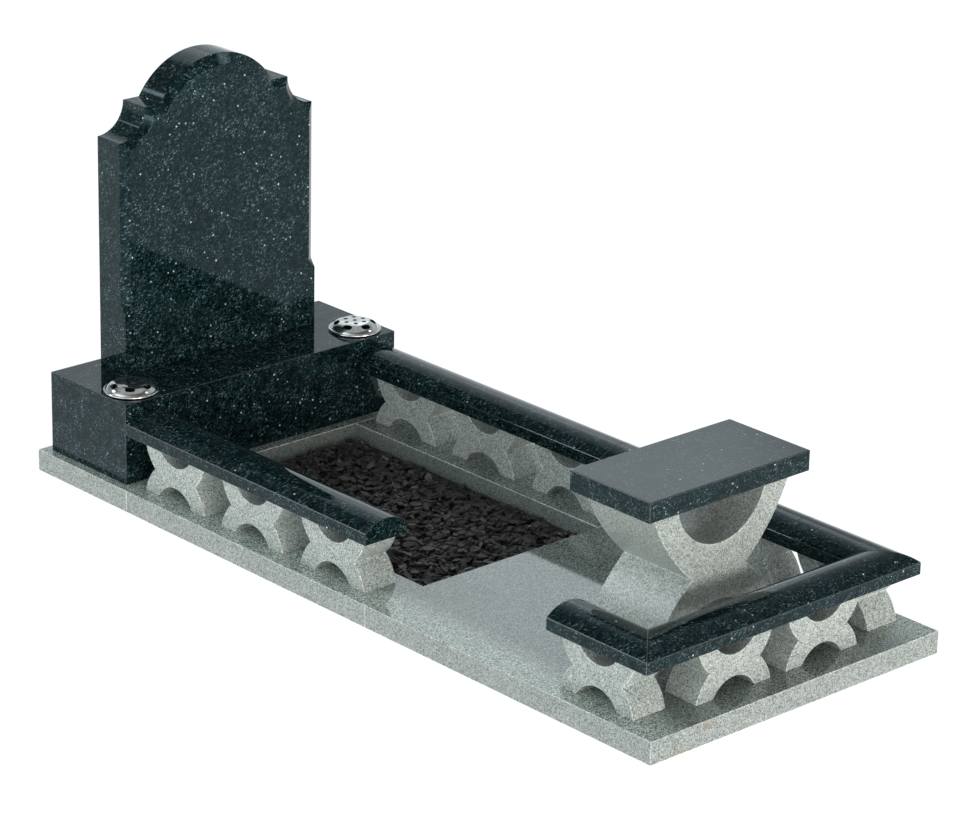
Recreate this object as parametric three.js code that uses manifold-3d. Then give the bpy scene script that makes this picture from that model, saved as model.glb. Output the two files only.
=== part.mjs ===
// A full-length kerbed memorial in polished granite: a platform of four pale slabs round a plot of
// slate chippings, a dark headstone on its base at the head, a kerb of dark coping rails carried by
// short pale balusters, and a small bench at the foot. Sizes are in millimetres. +Z is up, the head
// is at +Y and the foot at -Y, and the origin is under the middle of the platform.
import * as THREE from "three";
import { mergeVertices } from "three/addons/utils/BufferGeometryUtils.js";
import Module from "manifold-3d";

const wasm = await Module();
wasm.setup();

// Driving dimensions
const BED_JOINT = 0.3;
const PLATFORM = { width: 914, length: 2200, height: 56 };
const PLOT = { width: 560, headY: 737, footY: -165, slateDepth: 22 };
const BASE = { width: 868, depth: 306, height: 210, frontY: 766 };
const HEADSTONE = {
  width: 610,
  height: 774,
  thickness: 104,
  frontY: 934,
  shoulderHeight: 675,
  scotiaRadius: 79,
  archRadius: 208,
  chamferWidth: 20,
  chamferDepth: 16,
  archChamfer: 27,
  stopHeight: 156,
  stopRise: 22,
};
const RAIL = {
  width: 127,
  sideHeight: 29,
  crownRise: 25,
  outerX: 434,
  footY: -1055,
  endY: -136,
  returnY: -742,
};
const BALUSTER = {
  length: 232,
  waist: 156,
  height: 130,
  thickness: 98,
  sideRadius: 118,
  notchWidth: 128,
  notchDepth: 38,
};
const SIDE_ROW = { firstY: 598, pitch: 296.5, places: 6, leftPlaces: [0, 1, 2, 5] };
const FOOT_ROW = { spread: 140, pieces: 2 };
const ROW_SHIFT = 6;
const BENCH_SUPPORT = {
  length: 432,
  waist: 171,
  height: 370,
  thickness: 216,
  sideRadius: 472,
  notchWidth: 275,
  notchDepth: 116,
  middleY: -732,
};
const BENCH_SEAT = { length: 502, depth: 254, thickness: 50, middleY: -739 };
const LID = {
  radius: 68.5,
  beadHeight: 7,
  domeRadius: 64,
  domeRise: 18,
  domeFlatness: 5,
  domeShoulder: 0.8,
  wall: 1.5,
  spreadX: 361,
  middleY: 839,
  roundHole: 11.5,
  roundRing: 26,
  ovalLength: 25,
  ovalWidth: 15,
  ovalRing: 47,
  holesInRing: 6,
};
const LID_TURN = { left: 20, right: -4 };

// How many flats stand for each round stretch
const FLATS = {
  scotia: 10,
  arch: 14,
  dome: 6,
  lidRound: 36,
  roundHole: 10,
  ovalHole: 12,
  balusterSide: 6,
  balusterNotch: 10,
  railCrown: 14,
  supportSide: 10,
  supportNotch: 22,
};
const WELD = 1e-3;

// Finishes
const FINISHES = {
  darkGranite: { color: 0x1c2b2f, roughness: 0.12, metalness: 0 },
  paleGranite: { color: 0xa7ada4, roughness: 0.6, metalness: 0 },
  slate: { color: 0x4a3f42, roughness: 0.85, metalness: 0 },
  chrome: { color: 0xd9dadb, roughness: 0.12, metalness: 1 },
};

const memorial = new THREE.Group();
const platformTop = PLATFORM.height;
const quarterTurn = Math.PI / 2;

function piece(name, geometry, finish, parent = memorial) {
  const mesh = new THREE.Mesh(geometry, new THREE.MeshStandardMaterial(FINISHES[finish]));
  mesh.name = name;
  parent.add(mesh);
  return mesh;
}

// A square-edged block between two opposite corners.
function slab(name, finish, low, high) {
  const size = high.map((value, axis) => value - low[axis]);
  const mesh = piece(name, new THREE.BoxGeometry(...size), finish);
  mesh.position.set(...low.map((value, axis) => value + size[axis] / 2));
  return mesh;
}

// Adds a circular arc to an outline, from its last point to (x, y). turn is 1 where the outline
// bends to the left along the arc, and -1 where it bends to the right.
function arcTo(outline, x, y, radius, turn, steps) {
  const from = outline.at(-1);
  const chord = Math.hypot(x - from.x, y - from.y);
  const reach = Math.sqrt(radius ** 2 - (chord / 2) ** 2);
  const centreX = (from.x + x) / 2 - (turn * reach * (y - from.y)) / chord;
  const centreY = (from.y + y) / 2 + (turn * reach * (x - from.x)) / chord;
  const start = Math.atan2(from.y - centreY, from.x - centreX);
  const sweep = 2 * Math.asin(chord / 2 / radius) * turn;
  for (let i = 1; i < steps; i++) {
    const angle = start + (sweep * i) / steps;
    outline.push(new THREE.Vector2(centreX + radius * Math.cos(angle), centreY + radius * Math.sin(angle)));
  }
  outline.push(new THREE.Vector2(x, y));
}

// Radius of the arc that spans a width and rises a height in its middle.
function spanRadius(width, rise) {
  return (width ** 2 / 4 + rise ** 2) / (2 * rise);
}

// Extrudes an upright outline and lays it so that X is across, Z is up and the run goes towards -Y.
function extrudeAlong(outline, run) {
  const geometry = new THREE.ExtrudeGeometry(new THREE.Shape(outline), { depth: run, bevelEnabled: false });
  return geometry.rotateX(quarterTurn);
}

// Platform: a head landing under the headstone base, two side strips and a wide foot slab. They meet
// edge to edge and leave the plot open in the middle, where the chippings lie on the ground.
const halfWidth = PLATFORM.width / 2;
const halfLength = PLATFORM.length / 2;
const halfPlot = PLOT.width / 2;
slab("head_landing", "paleGranite", [-halfWidth, PLOT.headY, 0], [halfWidth, halfLength, platformTop]);
slab("foot_slab", "paleGranite", [-halfWidth, -halfLength, 0], [halfWidth, PLOT.footY, platformTop]);
const stripEnds = [PLOT.footY + BED_JOINT, PLOT.headY - BED_JOINT];
slab("side_strip_left", "paleGranite", [-halfWidth, stripEnds[0], 0], [-halfPlot, stripEnds[1], platformTop]);
slab("side_strip_right", "paleGranite", [halfPlot, stripEnds[0], 0], [halfWidth, stripEnds[1], platformTop]);
slab(
  "slate_bed",
  "slate",
  [-halfPlot + BED_JOINT, stripEnds[0], 0],
  [halfPlot - BED_JOINT, stripEnds[1], PLOT.slateDepth],
);

// Headstone base, a plain polished block.
const baseBottom = platformTop + BED_JOINT;
const baseTop = platformTop + BASE.height;
slab(
  "headstone_base",
  "darkGranite",
  [-BASE.width / 2, BASE.frontY, baseBottom],
  [BASE.width / 2, BASE.frontY + BASE.depth, baseTop],
);

// Half of the headstone's outline, from the foot of its right side up to the top of its round arch.
// inset is the width of the front chamfer: 0 gives the full outline, and the front face is the same
// outline with the chamfer taken off all round above its stops.
function headstoneHalf(inset, archInset) {
  const half = HEADSTONE.width / 2;
  const side = half - inset;
  const shoulder = HEADSTONE.shoulderHeight - inset;
  const scotia = HEADSTONE.scotiaRadius + inset;
  const reach = Math.sqrt(scotia ** 2 - inset ** 2);
  const outline = [
    new THREE.Vector2(half, 0),
    new THREE.Vector2(half, HEADSTONE.stopHeight),
    new THREE.Vector2(side, HEADSTONE.stopHeight + HEADSTONE.stopRise),
    new THREE.Vector2(side, HEADSTONE.shoulderHeight - reach),
  ];
  arcTo(outline, half - reach, shoulder, scotia, -1, FLATS.scotia);
  const archCentre = HEADSTONE.height - HEADSTONE.archRadius;
  const fullSpring = Math.sqrt(HEADSTONE.archRadius ** 2 - (HEADSTONE.shoulderHeight - archCentre) ** 2);
  const spring = fullSpring - inset / 2;
  outline.push(new THREE.Vector2(spring, shoulder));
  const crown = HEADSTONE.height - archInset;
  arcTo(outline, 0, crown, spanRadius(2 * spring, crown - shoulder), 1, FLATS.arch);
  return outline;
}

function headstoneRing(inset, archInset, y) {
  const right = headstoneHalf(inset, archInset);
  const left = right.slice(0, -1).reverse();
  const ring = right.map((p) => new THREE.Vector3(p.x, y, p.y));
  return ring.concat(left.map((p) => new THREE.Vector3(-p.x, y, p.y)));
}

// Joins upright rings with the same number of points, from the front one to the back one, and closes
// both ends. Each four-sided patch is split along its shorter diagonal.
function loft(rings) {
  const positions = [];
  const triangle = (...corners) => corners.forEach((p) => positions.push(p.x, p.y, p.z));
  const count = rings[0].length;
  rings.slice(1).forEach((back, i) => {
    const front = rings[i];
    for (let j = 0; j < count; j++) {
      const k = (j + 1) % count;
      if (front[j].distanceTo(back[k]) <= back[j].distanceTo(front[k])) {
        triangle(front[j], back[j], back[k]);
        triangle(front[j], back[k], front[k]);
      } else {
        triangle(front[j], back[j], front[k]);
        triangle(front[k], back[j], back[k]);
      }
    }
  });
  const flat = (ring) => ring.map((p) => new THREE.Vector2(p.x, p.z));
  for (const [a, b, c] of THREE.ShapeUtils.triangulateShape(flat(rings[0]), [])) {
    triangle(rings[0][a], rings[0][b], rings[0][c]);
  }
  const last = rings.at(-1);
  for (const [a, b, c] of THREE.ShapeUtils.triangulateShape(flat(last), [])) {
    triangle(last[c], last[b], last[a]);
  }
  const geometry = new THREE.BufferGeometry();
  geometry.setAttribute("position", new THREE.Float32BufferAttribute(positions, 3));
  geometry.computeVertexNormals();
  return geometry;
}

// Headstone: a round arch between two square shoulders, a quarter-round scotia below each, and a
// front chamfer that dies out in a stop on each side.
const chamferBack = HEADSTONE.frontY + HEADSTONE.chamferDepth;
const headstone = piece(
  "headstone",
  loft([
    headstoneRing(HEADSTONE.chamferWidth, HEADSTONE.archChamfer, HEADSTONE.frontY),
    headstoneRing(0, 0, chamferBack),
    headstoneRing(0, 0, HEADSTONE.frontY + HEADSTONE.thickness),
  ]),
  "darkGranite",
);
headstone.position.z = baseTop + BED_JOINT;

// Flower lids: pressed chrome lids with a nearly flat crown, a quick shoulder and a rolled bead. They
// are pierced by a ring of ovals round a ring of round holes and one in the middle, and they rest on
// the base in front of the headstone.
function domeHeight(radius, domeRadius) {
  return LID.domeRise * (1 - (radius / domeRadius) ** LID.domeFlatness) ** LID.domeShoulder;
}

function lidShell() {
  const steps = FLATS.dome;
  const innerDome = LID.domeRadius - LID.wall;
  const profile = [];
  const wallTop = LID.beadHeight - LID.wall;
  for (let i = 0; i <= steps; i++) {
    const radius = innerDome * Math.sin((quarterTurn * i) / steps);
    profile.push(new THREE.Vector2(radius, wallTop + domeHeight(radius, innerDome)));
  }
  profile.push(new THREE.Vector2(innerDome, 0));
  profile.push(new THREE.Vector2(LID.radius - LID.wall, 0));
  profile.push(new THREE.Vector2(LID.radius, LID.beadHeight / 3));
  profile.push(new THREE.Vector2(LID.radius, (LID.beadHeight * 2) / 3));
  profile.push(new THREE.Vector2(LID.radius - LID.wall, LID.beadHeight));
  for (let i = steps; i >= 0; i--) {
    const radius = LID.domeRadius * Math.sin((quarterTurn * i) / steps);
    profile.push(new THREE.Vector2(radius, LID.beadHeight + domeHeight(radius, LID.domeRadius)));
  }
  return new THREE.LatheGeometry(profile, FLATS.lidRound).rotateX(quarterTurn);
}

function solid(geometry) {
  const bare = geometry.index ? geometry.toNonIndexed() : geometry.clone();
  bare.deleteAttribute("normal");
  bare.deleteAttribute("uv");
  const merged = mergeVertices(bare, WELD);
  const vertProperties = new Float32Array(merged.attributes.position.array);
  const triVerts = new Uint32Array(merged.index.array);
  return new wasm.Manifold(new wasm.Mesh({ numProp: 3, vertProperties, triVerts }));
}

function toGeometry(body) {
  const mesh = body.getMesh();
  const geometry = new THREE.BufferGeometry();
  geometry.setAttribute("position", new THREE.Float32BufferAttribute(mesh.vertProperties, 3));
  geometry.setIndex(new THREE.Uint32BufferAttribute(mesh.triVerts, 1));
  return geometry.toNonIndexed();
}

// A punch for one hole, lying along X at a ring radius and turned round the middle of the lid.
function punch(length, width, ring, angle, sides) {
  const tall = 3 * (LID.beadHeight + LID.domeRise);
  const cutter = new THREE.CylinderGeometry(0.5, 0.5, tall, sides).rotateX(quarterTurn);
  cutter.scale(width, length, 1);
  cutter.translate(ring, 0, 0);
  cutter.rotateZ(THREE.MathUtils.degToRad(angle));
  return solid(cutter);
}

function piercedLid(turn) {
  const step = 360 / LID.holesInRing;
  let lid = solid(lidShell());
  lid = lid.subtract(punch(LID.roundHole, LID.roundHole, 0, turn, FLATS.roundHole));
  for (let i = 0; i < LID.holesInRing; i++) {
    const roundAngle = turn + i * step;
    const ovalAngle = turn + (i + 0.5) * step;
    lid = lid.subtract(punch(LID.roundHole, LID.roundHole, LID.roundRing, roundAngle, FLATS.roundHole));
    lid = lid.subtract(punch(LID.ovalLength, LID.ovalWidth, LID.ovalRing, ovalAngle, FLATS.ovalHole));
  }
  return toGeometry(lid);
}

for (const [side, sign] of [["left", -1], ["right", 1]]) {
  const lid = piece(`flower_lid_${side}`, piercedLid(LID_TURN[side]), "chrome");
  lid.position.set(sign * LID.spreadX, LID.middleY, baseTop + BED_JOINT);
}

// A spool-shaped outline, as two rings set back to back: a notch at the top and at the bottom, and
// sides that swell out from a sharp waist to both ends.
function spoolOutline(form, sideSteps, notchSteps) {
  const half = form.length / 2;
  const waist = form.waist / 2;
  const notch = form.notchWidth / 2;
  const notchRadius = spanRadius(form.notchWidth, form.notchDepth);
  const outline = [new THREE.Vector2(-half, 0), new THREE.Vector2(-notch, 0)];
  arcTo(outline, notch, 0, notchRadius, -1, notchSteps);
  outline.push(new THREE.Vector2(half, 0));
  arcTo(outline, waist, form.height / 2, form.sideRadius, 1, sideSteps);
  arcTo(outline, half, form.height, form.sideRadius, 1, sideSteps);
  outline.push(new THREE.Vector2(notch, form.height));
  arcTo(outline, -notch, form.height, notchRadius, -1, notchSteps);
  outline.push(new THREE.Vector2(-half, form.height));
  arcTo(outline, -waist, form.height / 2, form.sideRadius, 1, sideSteps);
  arcTo(outline, -half, 0, form.sideRadius, 1, sideSteps);
  outline.pop();
  return outline;
}

// Balusters: one form, cut from a thick pale slab, set in rows under the rails. The rows stand a
// little to the head and to the right of the middle of the rails.
const balusterForm = extrudeAlong(
  spoolOutline(BALUSTER, FLATS.balusterSide, FLATS.balusterNotch),
  BALUSTER.thickness,
);
balusterForm.translate(0, BALUSTER.thickness / 2, 0);

function baluster(name, x, y, alongY) {
  const mesh = piece(name, balusterForm.clone(), "paleGranite");
  mesh.position.set(x, y, platformTop + BED_JOINT);
  mesh.rotation.z = alongY ? quarterTurn : 0;
}

const railMiddleX = RAIL.outerX - RAIL.width / 2;
const footRailY = RAIL.footY + RAIL.width / 2;
const rowY = (place) => SIDE_ROW.firstY - place * SIDE_ROW.pitch;
SIDE_ROW.leftPlaces.forEach((place, i) => {
  baluster(`baluster_left_${i + 1}`, ROW_SHIFT - railMiddleX, rowY(place), true);
});
for (let place = 0; place < SIDE_ROW.places; place++) {
  baluster(`baluster_right_${place + 1}`, ROW_SHIFT + railMiddleX, rowY(place), true);
}
for (let i = 0; i < FOOT_ROW.pieces; i++) {
  const x = (i * 2 - 1) * FOOT_ROW.spread;
  baluster(`baluster_foot_${i + 1}`, x, footRailY + ROW_SHIFT, false);
}

// Coping rails: a flat underside, upright sides and a crown of one flat arc. The foot corners are
// mitred, and the left side is left open for a way in to the plot.
const railBottom = platformTop + BALUSTER.height + 2 * BED_JOINT;

function railOutline() {
  const half = RAIL.width / 2;
  const outline = [
    new THREE.Vector2(-half, 0),
    new THREE.Vector2(half, 0),
    new THREE.Vector2(half, RAIL.sideHeight),
  ];
  arcTo(outline, -half, RAIL.sideHeight, spanRadius(RAIL.width, RAIL.crownRise), 1, FLATS.railCrown);
  return outline;
}

// A rail that runs from a start point along a heading, in degrees anticlockwise from -Y. Each end is
// square where its slant is 0, and a mitre that runs out to one side where it is 1 or -1.
function rail(name, x, y, heading, run, startSlant, endSlant) {
  const geometry = extrudeAlong(railOutline(), run);
  const position = geometry.attributes.position;
  for (let i = 0; i < position.count; i++) {
    const slant = position.getY(i) > -run / 2 ? startSlant : endSlant;
    position.setY(i, position.getY(i) - slant * position.getX(i));
  }
  geometry.computeVertexNormals();
  const mesh = piece(name, geometry, "darkGranite");
  mesh.position.set(x, y, railBottom);
  mesh.rotation.z = THREE.MathUtils.degToRad(heading);
}

const headRun = BASE.frontY - RAIL.endY - BED_JOINT;
const middleRun = RAIL.endY - RAIL.returnY - 2 * BED_JOINT;
const returnRun = RAIL.returnY - footRailY - BED_JOINT;
rail("rail_left_head", -railMiddleX, BASE.frontY - BED_JOINT, 0, headRun, 0, 0);
rail("rail_left_return", -railMiddleX, RAIL.returnY, 0, returnRun, 0, -1);
rail("rail_foot", -railMiddleX + BED_JOINT, footRailY, 90, 2 * (railMiddleX - BED_JOINT), 1, -1);
rail("rail_right_return", railMiddleX, RAIL.returnY, 0, returnRun, 0, 1);
rail("rail_right_middle", railMiddleX, RAIL.endY - BED_JOINT, 0, middleRun, 0, 0);
rail("rail_right_head", railMiddleX, BASE.frontY - BED_JOINT, 0, headRun, 0, 0);

// Bench: a large spool-shaped support and a plain seat slab.
const supportForm = extrudeAlong(
  spoolOutline(BENCH_SUPPORT, FLATS.supportSide, FLATS.supportNotch),
  BENCH_SUPPORT.thickness,
);
supportForm.translate(0, BENCH_SUPPORT.thickness / 2, 0);
const support = piece("bench_support", supportForm, "paleGranite");
support.position.set(0, BENCH_SUPPORT.middleY, platformTop + BED_JOINT);

const seatBottom = platformTop + BENCH_SUPPORT.height + 2 * BED_JOINT;
slab(
  "bench_seat",
  "darkGranite",
  [-BENCH_SEAT.length / 2, BENCH_SEAT.middleY - BENCH_SEAT.depth / 2, seatBottom],
  [BENCH_SEAT.length / 2, BENCH_SEAT.middleY + BENCH_SEAT.depth / 2, seatBottom + BENCH_SEAT.thickness],
);

export default memorial;
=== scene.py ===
# %% [markdown]
# # A kerbed memorial in polished granite
# This lesson dresses a measured memorial: pale granite slabs and balusters, dark polished stones,
# loose slate and two pierced chrome lids. Every stone already has its true place and size in the
# frame that is loaded first, so nothing here is measured again. What Blender adds is what a
# mason's hands add: eased edges, round curves, a polish or a honed face, and the grain of the
# stone.

# %% Load the measured memorial
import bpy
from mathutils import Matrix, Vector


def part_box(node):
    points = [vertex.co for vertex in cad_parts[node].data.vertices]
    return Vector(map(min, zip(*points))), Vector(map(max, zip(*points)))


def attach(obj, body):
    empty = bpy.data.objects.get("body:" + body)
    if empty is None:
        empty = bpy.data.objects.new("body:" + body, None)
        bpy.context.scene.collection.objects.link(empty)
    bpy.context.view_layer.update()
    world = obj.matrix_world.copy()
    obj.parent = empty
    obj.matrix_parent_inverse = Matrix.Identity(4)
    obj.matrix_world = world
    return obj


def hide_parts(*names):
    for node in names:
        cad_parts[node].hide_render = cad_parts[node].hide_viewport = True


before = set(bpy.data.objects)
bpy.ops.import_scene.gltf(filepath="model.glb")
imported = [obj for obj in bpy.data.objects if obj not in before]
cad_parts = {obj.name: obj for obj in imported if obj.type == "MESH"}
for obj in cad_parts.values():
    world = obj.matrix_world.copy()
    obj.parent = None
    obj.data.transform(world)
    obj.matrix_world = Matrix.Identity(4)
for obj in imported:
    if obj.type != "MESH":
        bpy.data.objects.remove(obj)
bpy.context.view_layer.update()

# %% [markdown]
# The other modules come from Blender and from Python itself. `bmesh` edits meshes, `mathutils` has
# vectors and matrices, and `random` gets a fixed seed later, so that the slate falls the same way
# every time.

# %% Import the modules
import math
import random

import bmesh
import bpy
from mathutils import Matrix, Vector

MM = 0.001
print("Blender", bpy.app.version_string)

# %% [markdown]
# ## Camera
# The view comes first, because it decides which details are seen. A long lens from far away keeps
# the platform's edges almost parallel. The camera could be aimed with a constraint, but a matrix
# built from three directions also gives the slight roll of the real view.

# %% Place the camera
VIEW_AZIMUTH = math.radians(-42.53139)
VIEW_ELEVATION = math.radians(20.71877)
VIEW_ROLL = math.radians(1.27241)
VIEW_TARGET = Vector((0.1670723, 0.1290573, 0.3))
VIEW_DISTANCE = 9.340189
VIEW_END = 100.0
LENS_MM = 143.68
SENSOR_MM = 36.0

across = Vector((math.cos(VIEW_AZIMUTH), math.sin(VIEW_AZIMUTH), 0))
back = Vector((
    math.sin(VIEW_AZIMUTH) * math.cos(VIEW_ELEVATION),
    -math.cos(VIEW_AZIMUTH) * math.cos(VIEW_ELEVATION),
    math.sin(VIEW_ELEVATION),
))
upward = back.cross(across)
rolled_across = across * math.cos(VIEW_ROLL) + upward * math.sin(VIEW_ROLL)
rolled_upward = upward * math.cos(VIEW_ROLL) - across * math.sin(VIEW_ROLL)
turn = Matrix((rolled_across, rolled_upward, back)).transposed().to_4x4()
camera = bpy.data.objects.new("camera", bpy.data.cameras.new("camera"))
camera.data.lens = LENS_MM
camera.data.sensor_width = SENSOR_MM
camera.data.clip_end = VIEW_END
camera.matrix_world = Matrix.Translation(VIEW_TARGET + back * VIEW_DISTANCE) @ turn
bpy.context.scene.collection.objects.link(camera)
bpy.context.scene.camera = camera
print("camera at", [round(v, 3) for v in camera.location])

# %% [markdown]
# ## Studio
# Polished stone shows its surroundings more than its own colour, so the room is part of the
# finish. Separate lamps would leave hard white patches in every polish. A world shader that paints
# light on the walls of an endless room gives the same soft light with nothing in the way of other
# views. The paint is worked out from numbers, so the first helpers are for math nodes and colour
# ramps.

# %% Helpers for numbers and ramps
def calculate(tree, operation, *values):
    """A math node on numbers or on other nodes' outputs."""
    node = tree.nodes.new("ShaderNodeMath")
    node.operation = operation
    for socket, value in zip(node.inputs, values):
        if isinstance(value, (int, float)):
            socket.default_value = value
        else:
            tree.links.new(value, socket)
    return node.outputs["Value"]


def through_ramp(tree, value, stops):
    """Turns a value from 0 to 1 into a colour, by (value, colour) stops."""
    node = tree.nodes.new("ShaderNodeValToRGB")
    elements = node.color_ramp.elements
    while len(elements) < len(stops):
        elements.new(1.0)
    for element, (position, colour) in zip(elements, stops):
        element.position = position
        element.color = (*colour, 1.0)
    tree.links.new(value, node.inputs["Fac"])
    return node.outputs["Color"]


def light_by(tree, value, stops, strongest=1.0):
    """Turns a value from 0 to 1 into light, by (value, light) stops."""
    greys = [(position, (light / strongest,) * 3) for position, light in stops]
    return calculate(tree, "MULTIPLY", through_ramp(tree, value, greys), strongest)


print("helpers for numbers and ramps are ready")

# %% [markdown]
# Each light has two lists. The first gives its strength by bearing, in degrees: 0 is behind the
# memorial, 90 on its right, 180 in front of its foot and -90 on its left. The second fades it by
# height, from 0 at the horizon to 1 overhead. The side and front lights stand low, so the faces
# that look at them are the palest. A tall bright wall stands behind to the right, with sharp ends,
# and the polished tops mirror it. The glints are two small patches for the eased edges to catch.

# %% Lights round the room
SIDE_LIGHT = [
    (-180, 0.0), (-150, 0.2), (-120, 0.75), (-100, 1.75), (-80, 2.2), (-62, 1.1), (-50, 0.2),
    (60, 0.2), (110, 0.3), (140, 0.1), (180, 0.0),
]
SIDE_FADE = [(0.0, 0.55), (0.10, 0.65), (0.20, 1.1), (0.36, 1.1), (0.60, 0.38), (0.85, 0.0)]
FRONT_LIGHT = [
    (-180, 16.0), (-160, 12.0), (-125, 0.5), (-100, 0.0), (145, 0.0), (160, 5.0), (180, 16.0),
]
FRONT_FADE = [(0.0, 1.0), (0.09, 1.0), (0.19, 0.22), (0.36, 0.0)]
GLINTS = [
    (-180, 0.0), (-46, 0.0), (-43, 10.0), (-30, 10.0), (-27, 0.0),
    (122, 0.0), (125, 3.5), (134, 3.5), (137, 0.0), (180, 0.0),
]
GLINT_FADE = [(0.0, 0.0), (0.46, 0.0), (0.50, 1.0), (0.61, 1.0), (0.65, 0.0)]
WALL_LIGHT = [
    (-180, 0.0), (13, 0.0), (16, 0.8), (36, 0.88), (40, 0.98), (42, 1.35), (47.3, 1.35),
    (48.3, 0.4), (78, 0.35), (120, 0.1), (140, 0.0), (180, 0.0),
]
WALL_FADE = [(0.0, 0.6), (0.335, 0.5), (0.368, 0.93), (0.46, 1.0), (0.68, 0.70), (0.84, 0.0)]
LIGHTS = [
    (SIDE_LIGHT, SIDE_FADE),
    (FRONT_LIGHT, FRONT_FADE),
    (GLINTS, GLINT_FADE),
    (WALL_LIGHT, WALL_FADE),
]
STRONGEST = max(light for by_side, fade in LIGHTS for bearing, light in by_side)
print("strongest light:", STRONGEST)

# %% [markdown]
# Overhead is a dim glow that doesn't depend on the bearing, and all round the horizon it is white,
# to meet the floor. The light is a little warmer in front and cooler on the left, as from two
# kinds of lamp. The world's own direction gives the bearing and the height of every ray.

# %% Light the room
OVERHEAD = [(0.0, 0.12), (0.72, 0.12), (0.88, 0.5), (1.0, 0.5)]
HORIZON = [(0.0, 0.9), (0.04, 0.9), (0.14, 0.0)]
WARM_LIGHT = (1.0, 0.965, 0.92)
COOL_LIGHT = (0.88, 0.965, 1.0)
LIGHT_TINT = [
    (-180, WARM_LIGHT), (-150, WARM_LIGHT), (-110, COOL_LIGHT), (120, COOL_LIGHT),
    (180, WARM_LIGHT),
]

world = bpy.data.worlds.new("studio")
bpy.context.scene.world = world
world.use_nodes = True
sky = world.node_tree
direction = sky.nodes.new("ShaderNodeTexCoord")
split = sky.nodes.new("ShaderNodeSeparateXYZ")
sky.links.new(direction.outputs["Generated"], split.inputs["Vector"])
height = split.outputs["Z"]
bearing = calculate(sky, "ARCTAN2", split.outputs["X"], split.outputs["Y"])
turn_part = calculate(sky, "MULTIPLY_ADD", bearing, 1 / (2 * math.pi), 0.5)


def by_turn(stops):
    """Changes the bearings of a list, in degrees, to parts of a whole turn."""
    return [((degrees + 180) / 360, value) for degrees, value in stops]


total = light_by(sky, height, OVERHEAD)
for by_side, fade in LIGHTS:
    strength = light_by(sky, turn_part, by_turn(by_side), STRONGEST)
    light = calculate(sky, "MULTIPLY", strength, light_by(sky, height, fade))
    total = calculate(sky, "ADD", total, light)
total = calculate(sky, "MAXIMUM", total, light_by(sky, height, HORIZON))
tint = through_ramp(sky, turn_part, by_turn(LIGHT_TINT))
sky.links.new(tint, sky.nodes["Background"].inputs["Color"])
sky.links.new(total, sky.nodes["Background"].inputs["Strength"])
bpy.context.scene.view_settings.view_transform = "Standard"
print("world:", world.name, "with", len(LIGHTS), "lights")

# %% [markdown]
# The floor is a wide pale sheet. It glows by itself, like a lit studio table, so that it stays
# white right up to the stones and throws light up at their sides.

# %% Lay the floor
FLOOR_HALF = 40.0
FLOOR_DROP = 0.5 * MM
FLOOR_FINISH = {
    "Base Color": (0.16, 0.16, 0.16, 1),
    "Roughness": 0.9,
    "Specular IOR Level": 0.1,
    "Emission Color": (0.97, 0.985, 1, 1),
    "Emission Strength": 0.96,
}

floor_mesh = bpy.data.meshes.new("floor")
corners = [(-1, -1), (1, -1), (1, 1), (-1, 1)]
floor_corners = [(x * FLOOR_HALF, y * FLOOR_HALF, -FLOOR_DROP) for x, y in corners]
floor_mesh.from_pydata(floor_corners, [], [(0, 1, 2, 3)])
floor = bpy.data.objects.new("floor", floor_mesh)
bpy.context.scene.collection.objects.link(floor)
floor_paint = bpy.data.materials.new("studio_floor")
floor_paint.use_nodes = True
for socket, value in FLOOR_FINISH.items():
    floor_paint.node_tree.nodes["Principled BSDF"].inputs[socket].default_value = value
floor_mesh.materials.append(floor_paint)
print("floor half width:", FLOOR_HALF, "m")

# %% [markdown]
# ## Finishes
# Granite is a mass of crystals, each with a colour of its own. Painting flecks by hand would never
# look right on all sides, so the stone is solid: its pattern is worked out from the place of each
# point in space. Noise bends that place a little first, because real crystals aren't tidy
# polygons.

# %% Helpers for the place in the stone
def new_finish(name, roughness, ior):
    """A new principled material, with its node tree and its shader."""
    material = bpy.data.materials.new(name)
    material.use_nodes = True
    tree = material.node_tree
    shader = tree.nodes["Principled BSDF"]
    shader.inputs["Roughness"].default_value = roughness
    shader.inputs["IOR"].default_value = ior
    return material, tree, shader


def solid_place(tree):
    """The point of the stone that is shaded."""
    return tree.nodes.new("ShaderNodeTexCoord").outputs["Object"]


def vector_math(tree, operation, place, amount=(0, 0, 0)):
    """A vector math node on a place and a fixed amount."""
    node = tree.nodes.new("ShaderNodeVectorMath")
    node.operation = operation
    node.inputs[1].default_value = amount
    tree.links.new(place, node.inputs[0])
    return node


def noise_texture(tree, place, scale, detail):
    """A noise pattern at a place."""
    noise = tree.nodes.new("ShaderNodeTexNoise")
    noise.inputs["Scale"].default_value = scale
    noise.inputs["Detail"].default_value = detail
    tree.links.new(place, noise.inputs["Vector"])
    return noise


def bent_place(tree, place, scale, reach):
    """The place, pushed about by noise of a scale, by half its reach to every side."""
    noise = noise_texture(tree, place, scale, detail=2)
    centred = vector_math(tree, "SUBTRACT", noise.outputs["Color"], (0.5, 0.5, 0.5))
    bent = vector_math(tree, "MULTIPLY_ADD", centred.outputs["Vector"], (reach, reach, reach))
    tree.links.new(place, bent.inputs[2])
    return bent.outputs["Vector"]


print("place helpers are ready")

# %% [markdown]
# Cells of a Voronoi pattern in space stand for the crystals, and a ramp turns each cell's random
# number into a mineral. Clouds of noise vary the stone on a wider scale. Patterns could be drawn
# on the faces as pictures, but they would not run round the corners as the grain of real stone
# does.

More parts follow.
